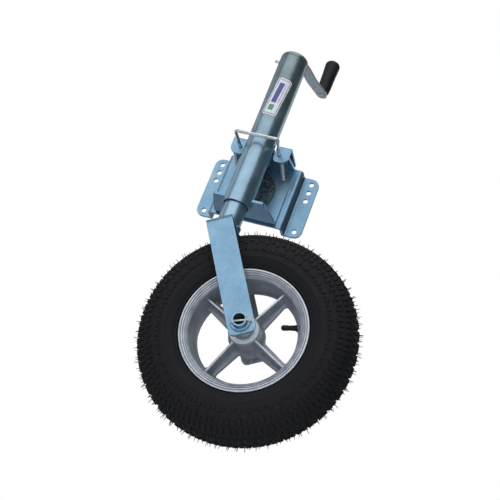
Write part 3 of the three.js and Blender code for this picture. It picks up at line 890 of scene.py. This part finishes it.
def split_pin(name, side):
    """A split pin through the axle's end: an eye at one end, the legs bent over at the other."""
    past_fork, wire_radius = 5.4, 0.78
    centre = Vector((AXLE.x / MM, (AXLE.y + side * FORK_HALF) / MM + side * past_fork, AXLE.z / MM))
    slant = Matrix.Rotation(math.radians(-21), 3, "Y")
    parts = []
    for k, spread in ((-1, -5.5), (1, 4.5)):
        leg = [(14.0, 0, 0.75 * k), (-13.4, 0, 0.75 * k), (-16.0, side * 2.6, spread * 0.6)]
        parts.append((f"{name}_leg_{k}", leg, 2.2, 10))
    eye = [(13.7 + 2.0 * (1 - math.cos(a)), 0, 1.8 * math.sin(a))
           for a in [2 * math.pi * k / 14 for k in range(15)]]
    parts.append((name + "_eye", eye, 0.2, 1))
    wires = []
    for label, points, bend, steps in parts:
        path = [centre + slant @ Vector(p) for p in points]
        wires.append(bent_bar(label, path, bend, wire_radius, WIRE, steps))
    return joined(name, wires, WIRE)


def valve_stem():
    """The rubber valve stem: a flared foot on the barrel, a slim neck and a rounded cap."""
    place, lean, barrel_radius = math.radians(27), math.radians(27), 84.5 * MM
    out = Vector((math.cos(place), 0, math.sin(place)))
    axis = -out * math.cos(lean) - Y * math.sin(lean)
    profile = [(0, 0), (7.6, 0), (7.8, 1.6), (5.4, 4.0), (4.5, 7.5), (4.1, 16.5), (3.7, 17.3),
               (4.4, 18.0), (4.6, 26.5), (3.9, 28.6), (2.2, 29.8), (0, 30.2)]
    return turned("valve_stem_moulded", profile, AXLE + out * barrel_radius, axis, STEM, 28,
                  axis.cross(Y).normalized())


def spring(name, node):
    """A tension spring hooked between the channel's web and the lock plate's ear."""
    low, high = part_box(node)
    x, hook_in = (low.x + high.x) / 2, 3.3 * MM
    start = Vector((x, high.y, low.z + hook_in))
    end = Vector((x, low.y, high.z - hook_in))
    made = line_of(name, [(0, 0, 0), (0, 0, 1)])
    made = run_tree(made, COIL, WIRE, 60, Length=(end - start).length, Radius=2.7 * MM, Turns=13.0,
                    Wire=0.95 * MM, Hook=0.07)
    aim = (end - start).to_track_quat("Z", "Y").to_matrix().to_4x4()
    made.data.transform(Matrix.Translation(start) @ aim)
    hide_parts(node)
    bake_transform(made)
    return made


def sticker():
    """A thin rounded label wrapped on the tube, stuck on a little askew."""
    proud, thickness = 0.35 * MM, 0.2 * MM
    wide, tall, corner = 26.5, 80.0, 4.0
    centre_angle, skew = math.radians(8.5), math.radians(-5.0)
    columns, rows = 16, 40
    r = TUBE_R + proud
    centre_z = middle("sticker").z
    work = bmesh.new()
    uv = work.loops.layers.uv.new("label")
    grid = []
    for i in range(rows + 1):
        t = -tall / 2 + tall * i / rows
        # The label's half width shrinks at its ends, which rounds its corners.
        over = max(0.0, abs(t) - (tall / 2 - corner))
        half = wide / 2 - corner + math.sqrt(max(0.0, corner**2 - over**2))
        row = []
        for j in range(columns + 1):
            s = -half + 2 * half * j / columns
            across = s * math.cos(skew) - t * math.sin(skew)
            up = s * math.sin(skew) + t * math.cos(skew)
            a = centre_angle + across * MM / r
            spot = (TUBE.x + r * math.sin(a), TUBE.y - r * math.cos(a), centre_z + up * MM)
            row.append((work.verts.new(spot), (s / wide + 0.5, t / tall + 0.5)))
        grid.append(row)
    for i in range(rows):
        for j in range(columns):
            ring = [grid[i][j], grid[i][j + 1], grid[i + 1][j + 1], grid[i + 1][j]]
            face = work.faces.new([v for v, _ in ring])
            for loop, (_, at) in zip(face.loops, ring):
                loop[uv].uv = at
    made = object_of("sticker_label", mesh_from(work, "sticker_label"), VINYL)
    vinyl = made.modifiers.new("vinyl", "SOLIDIFY")
    vinyl.thickness, vinyl.offset = thickness, 1
    return baked(made, VINYL)


# ---------- camera and studio ----------


def camera():
    """The camera: low down at the front right, looking up, and rolled so that the jack leans."""
    made = linked("camera", bpy.data.cameras.new("camera"))
    made.data.sensor_width = 36
    made.data.lens = 73.58
    right = Vector((0.9282, 0.1588, 0.3364))
    up = Vector((-0.2342, -0.4530, 0.8602))
    back = Vector((0.28904, -0.87723, -0.38332))
    place = Matrix((right, up, back)).transposed().to_4x4()
    made.matrix_world = Matrix.Translation(Vector((0.544705, -1.587314, -0.795829))) @ place
    made.data.clip_start, made.data.clip_end = 0.05, 150
    bpy.context.scene.camera = made


def soft_box(name, azimuth, elevation, distance, width, height, power, colour="#FFFFFF"):
    """An area light that faces the object's middle. Azimuth 0 is in front and 90 to the right."""
    a, e = math.radians(azimuth), math.radians(elevation)
    centre = Vector((0.03, -0.09, -0.1))
    out = Vector((math.sin(a) * math.cos(e), -math.cos(a) * math.cos(e), math.sin(e)))
    light = bpy.data.lights.new(name, "AREA")
    light.shape = "RECTANGLE"
    light.size, light.size_y = width, height
    light.energy = power
    light.color = hex_colour(colour)[:3]
    made = linked(name, light)
    made.location = centre + out * distance
    made.rotation_mode = "QUATERNION"
    made.rotation_quaternion = out.to_track_quat("Z", "Y")
    made.visible_camera = False


def studio():
    """A pale floor well below the jack, soft boxes, and a room darker low down and to the right."""
    world = bpy.data.worlds.new("studio")
    bpy.context.scene.world = world
    add = blank_tree(world)
    way = add("ShaderNodeTexCoord").outputs["Generated"]
    split = add("ShaderNodeSeparateXYZ", {"Vector": way})
    height = add("ShaderNodeMapRange",
                 {"Value": split.outputs["Z"], "From Min": -0.75, "From Max": 0.9})
    room = add("ShaderNodeValToRGB", {"Fac": height},
               [(0.0, "#343A40"), (0.38, "#4A535B"), (0.6, "#6E7780"), (1.0, "#B9C0C6")])
    side = add("ShaderNodeMapRange",
               {"Value": split.outputs["X"], "From Min": 0.25, "From Max": 0.85})
    flag = hex_colour("#525D5E")
    flagged = add("ShaderNodeMix", {0: side, 6: room, 7: flag}, **MIX).outputs[2]
    seen = add("ShaderNodeBackground", {"Color": hex_colour("#FFFFFF"), "Strength": 1.0})
    cast = add("ShaderNodeBackground", {"Color": flagged, "Strength": 0.8})
    eye = add("ShaderNodeLightPath").outputs["Is Camera Ray"]
    both = add("ShaderNodeMixShader", {0: eye, 1: cast, 2: seen})
    add("ShaderNodeOutputWorld", {"Surface": both})
    soft_box("key", -9, 24, 2.3, 4.3, 2.0, 33)
    soft_box("top", 10, 74, 2.2, 1.6, 1.2, 9)
    soft_box("low_fill", 20, -24, 2.2, 1.6, 0.7, 7)
    soft_box("left_wall", -92, 20, 2.4, 1.5, 1.6, 4)
    soft_box("left_rim", -140, 15, 2.3, 0.7, 1.8, 4, "#F2F7FF")
    soft_box("back_right", 152, 20, 2.4, 0.8, 1.8, 6, "#F2F7FF")

    paint = bpy.data.materials.new("pale_floor_paint")
    add = blank_tree(paint)
    matt = add("ShaderNodeBsdfDiffuse", {"Color": hex_colour("#E9EAEC")})
    glow = add("ShaderNodeEmission", {"Color": hex_colour("#F7F7F8"), "Strength": 1.0})
    eye = add("ShaderNodeLightPath").outputs["Is Camera Ray"]
    share = add("ShaderNodeMath", {0: eye, 1: 0.72}, operation="MULTIPLY")
    pale = add("ShaderNodeMixShader", {0: share, 1: matt, 2: glow})
    add("ShaderNodeOutputMaterial", {"Surface": pale})
    size, level = 40.0, -1.5
    mesh = bpy.data.meshes.new("floor")
    mesh.from_pydata([(x * size, y * size, level) for x, y in ((-1, -1), (1, -1), (1, 1), (-1, 1))],
                     [], [(0, 1, 2, 3)])
    floor = object_of("floor", mesh, paint)


camera()
studio()
bpy.context.scene.view_settings.view_transform = "Standard"

# ---------- fixed bracket ----------

# The bracket's side walls carry painted shade: a darker copy of the plating.
bracket = paint_shade_on_walls(softened("bracket_sheet", "mount_bracket", SHEET, 0.7))
settle(bracket, "bracket", "zinc_plate", "mount_bracket")
# The drum's dark finish paints the shade that falls behind the tube.
refine("pivot_rings", "pivot_drum", DRUM, 0.5, "bracket", "zinc_plate")

# ---------- jack body ----------

refine("channel_sheet", "swivel_channel", SHEET, 0.6, "jack", "zinc_plate")
refine("outer_tube_drawn", "outer_tube", DRAWN, 0.4, "jack", "zinc_tube")
refine("top_cap_pressed", "top_cap", DRAWN, 0.5, "jack", "zinc_tube")
refine("nipple_turned", "grease_nipple", WIRE, 0.2, "jack", "bright_wire")
settle(sticker(), "jack", "label_paper", "sticker")
spring("spring_right_wire", "spring_right")
spring("spring_left_wire", "spring_left")
keep("guide_bush", SEAL)
keep("thrust_bearing", STEEL)

# The channel's bottom and top edges are welded round the back of the tube.
weld_radius, weld_half_turn = TUBE_R + 0.6 * MM, 62
for side, end in ((-1, "bottom"), (1, "top")):
    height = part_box("swivel_channel")[1].z * side + side * 0.4 * MM
    bead = []
    for k in range(25):
        a = math.radians(-weld_half_turn + 2 * weld_half_turn * k / 24)
        x, y = TUBE.x + weld_radius * math.sin(a), TUBE.y + weld_radius * math.cos(a)
        bead.append((x, y, height))
    weld_bead(f"tube_weld_{end}", bead, "jack", width=2.2, seed=3 + side)

# ---------- lock plate ----------

refine("lock_plate_sheet", "lock_plate", SHEET, 0.6, "lock", "zinc_plate")
refine("lock_pin_turned", "lock_pin", STEEL, 0.4, "lock", "machined_steel")
refine("bail_wire", "bail", WIRE, 0.1, "lock", "bright_wire", 1)

# ---------- screw, crank and grip ----------

refine("screw_turned", "screw", STEEL, 0.3, "crank", "machined_steel")
refine("crank_bar", "crank_arm", BAR, 1.0, "crank", "zinc_plate", 3)
refine("crank_rivet", "crank_pin", BAR, 0.6, "crank", "bright_wire", 3)
refine("grip_moulded", "grip", GRIP, 0.5, "grip", "grip_plastic")
keep("screw_nut", BRASS)

# ---------- inner tube and fork ----------

refine("inner_tube_drawn", "inner_tube", DRAWN, 0.3, "caster", "zinc_tube")
fork = grey_inside_faces(softened("fork_bar", "fork", SHEET, 0.9, 3))
settle(fork, "caster", "zinc_plate", "fork")
keep("inner_guide", NYLON)

# The bead lies where the tube meets the sloping bridge, which is this far above the axle.
bridge_top, weld_radius = 197.6 * MM, INNER_R + 0.8 * MM
along = Vector((-math.sin(FORK_LEAN), 0, math.cos(FORK_LEAN)))
ring = []
for k in range(48):
    a = 2 * math.pi * k / 48
    x, y = TUBE.x + weld_radius * math.cos(a), TUBE.y + weld_radius * math.sin(a)
    ring.append((x, y, AXLE.z + (bridge_top - (x - AXLE.x) * along.x) / along.z))
weld_bead("fork_weld", ring, "caster", width=1.9, seed=9, cyclic=True)

# ---------- axle ----------

refine("axle_tube", "axle", DRAWN, 0.5, "caster", "zinc_tube")
for side, end in ((-1, "near"), (1, "far")):
    refine(f"washer_{end}", f"axle_washer_{end}", SHEET, 0.4, "caster", "zinc_plate")
    settle(split_pin(f"cotter_{end}", side), "caster", "bright_wire", f"split_pin_{end}")
    keep(f"axle_spacer_{end}", DRAWN)
    keep(f"hub_bush_{end}", NYLON)

# ---------- wheel ----------

settle(rim_hoop(), "wheel", "cast_rim", "rim")
settle(machine_ends(rim_spokes(64), 15, MACHINED), "wheel", "cast_rim")
# The hub's ends take the near-white faced finish: partly the tool's cut, partly a painted
# highlight.
settle(machine_ends(rim_hub(), 30, FACED), "wheel", "cast_rim")
settle(tyre_casing(), "wheel", "tyre_rubber", "tyre")
settle(tread_blocks(), "wheel", "tyre_rubber")
settle(tyre_whiskers(), "wheel", "tyre_rubber")
settle(valve_stem(), "wheel", "stem_rubber", "valve_stem")
